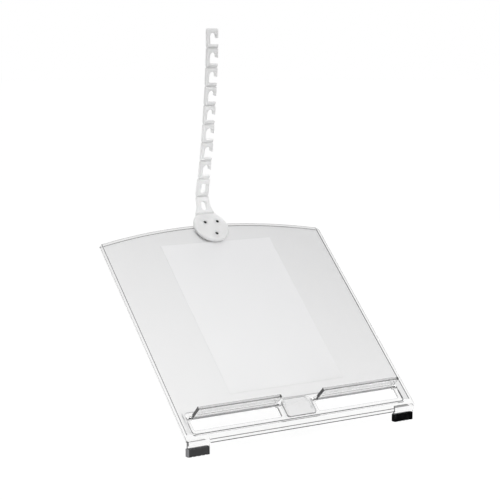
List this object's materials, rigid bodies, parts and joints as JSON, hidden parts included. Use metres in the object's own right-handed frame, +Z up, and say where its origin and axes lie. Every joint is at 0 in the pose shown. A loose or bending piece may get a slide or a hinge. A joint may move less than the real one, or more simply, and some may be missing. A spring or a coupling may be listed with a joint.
{
  "type": "in-line copy holder",
  "caption": "Clear leaning document plate with fold-out lips, rubber feet and a swivelling notched hanger strap.",
  "frame": {"origin": "seat of the strap's top notch, in the middle of its round arch and of the strap's thickness", "axes": "+Z up, +X to the reader's right, +Y away from the reader; the plate leans away from the reader"},
  "size_m": [0.424, 0.3224, 0.622],
  "materials": {
    "clear_plastic": "clear gloss",
    "satin_film": "satin",
    "milky_plastic": "milky satin",
    "washer_film": "satin",
    "black_rubber": "matte",
    "black_steel": "blackened",
    "pin_steel": "drawn"
  },
  "bodies": {
    "root": {"panel": "clear_plastic", "centre_plate": "clear_plastic", "reading_field": "satin_film", "left_foot": "black_rubber", "right_foot": "black_rubber", "left_lip_outer_pin": "pin_steel", "left_lip_inner_pin": "pin_steel", "right_lip_inner_pin": "pin_steel", "right_lip_outer_pin": "pin_steel"},
    "left_lip": {"left_lip": "clear_plastic"},
    "right_lip": {"right_lip": "clear_plastic"},
    "hub": {"strap_hub": "milky_plastic", "hub_retainer": "milky_plastic", "hub_washer": "washer_film", "hub_screws": "black_steel"},
    "link_1": {"strap_link_1": "milky_plastic"},
    "link_2": {"strap_link_2": "milky_plastic"},
    "link_3": {"strap_link_3": "milky_plastic"},
    "link_4": {"strap_link_4": "milky_plastic"},
    "link_5": {"strap_link_5": "milky_plastic"},
    "link_6": {"strap_link_6": "milky_plastic"},
    "link_7": {"strap_link_7": "milky_plastic"},
    "link_8": {"strap_link_8": "milky_plastic"},
    "link_9": {"strap_link_9": "milky_plastic"},
    "link_10": {"strap_link_10": "milky_plastic"}
  },
  "joints": [
    {"name": "left_lip_fold", "type": "hinge", "parent": "root", "child": "left_lip", "pos_m": [-0.11315, -0.25121, -0.55849], "axis": [1, 0, 0], "range_deg": [0, 86]},
    {"name": "right_lip_fold", "type": "hinge", "parent": "root", "child": "right_lip", "pos_m": [0.11135, -0.25121, -0.55849], "axis": [1, 0, 0], "range_deg": [0, 86]},
    {"name": "hub_swivel", "type": "hinge", "parent": "root", "child": "hub", "pos_m": [-0.0009, 0.01008, -0.31463], "axis": [0, -0.6794, 0.7337], "range_deg": [-60, 60]},
    {"name": "strap_fold", "type": "hinge", "parent": "hub", "child": "link_1", "pos_m": [-0.0009, 0.02814, -0.29204], "axis": [1, 0, 0], "range_deg": [-29.6, 20]},
    {"name": "strap_neck_fold", "type": "hinge", "parent": "link_1", "child": "link_2", "pos_m": [-0.0009, 0.03751, -0.26249], "axis": [1, 0, 0], "range_deg": [-31.2, 21.11]},
    {"name": "strap_curl", "type": "hinge", "parent": "link_2", "child": "link_3", "pos_m": [-0.0009, 0.03027, -0.23235], "axis": [1, 0, 0], "range_deg": [-12, 12]},
    {"name": "strap_curl_4", "type": "hinge", "parent": "link_3", "child": "link_4", "pos_m": [-0.0009, 0.02351, -0.2021], "axis": [1, 0, 0], "range_deg": [-12, 12]},
    {"name": "strap_curl_5", "type": "hinge", "parent": "link_4", "child": "link_5", "pos_m": [-0.0009, 0.01781, -0.17162], "axis": [1, 0, 0], "range_deg": [-12, 12]},
    {"name": "strap_curl_6", "type": "hinge", "parent": "link_5", "child": "link_6", "pos_m": [-0.0009, 0.01323, -0.14097], "axis": [1, 0, 0], "range_deg": [-12, 12]},
    {"name": "strap_curl_7", "type": "hinge", "parent": "link_6", "child": "link_7", "pos_m": [-0.0009, 0.00918, -0.11023], "axis": [1, 0, 0], "range_deg": [-12, 12]},
    {"name": "strap_curl_8", "type": "hinge", "parent": "link_7", "child": "link_8", "pos_m": [-0.0009, 0.0054, -0.07946], "axis": [1, 0, 0], "range_deg": [-12, 12]},
    {"name": "strap_curl_9", "type": "hinge", "parent": "link_8", "child": "link_9", "pos_m": [-0.0009, 0.00243, -0.0486], "axis": [1, 0, 0], "range_deg": [-12, 12]},
    {"name": "strap_curl_10", "type": "hinge", "parent": "link_9", "child": "link_10", "pos_m": [-0.0009, 0, -0.0177], "axis": [1, 0, 0], "range_deg": [-12, 12]}
  ],
  "couplings": [
    {"joint": "strap_neck_fold", "follows": "strap_fold", "ratio": 1.0507},
    {"joint": "strap_curl_4", "follows": "strap_curl", "ratio": 1},
    {"joint": "strap_curl_5", "follows": "strap_curl", "ratio": 1},
    {"joint": "strap_curl_6", "follows": "strap_curl", "ratio": 1},
    {"joint": "strap_curl_7", "follows": "strap_curl", "ratio": 1},
    {"joint": "strap_curl_8", "follows": "strap_curl", "ratio": 1},
    {"joint": "strap_curl_9", "follows": "strap_curl", "ratio": 1},
    {"joint": "strap_curl_10", "follows": "strap_curl", "ratio": 1}
  ]
}
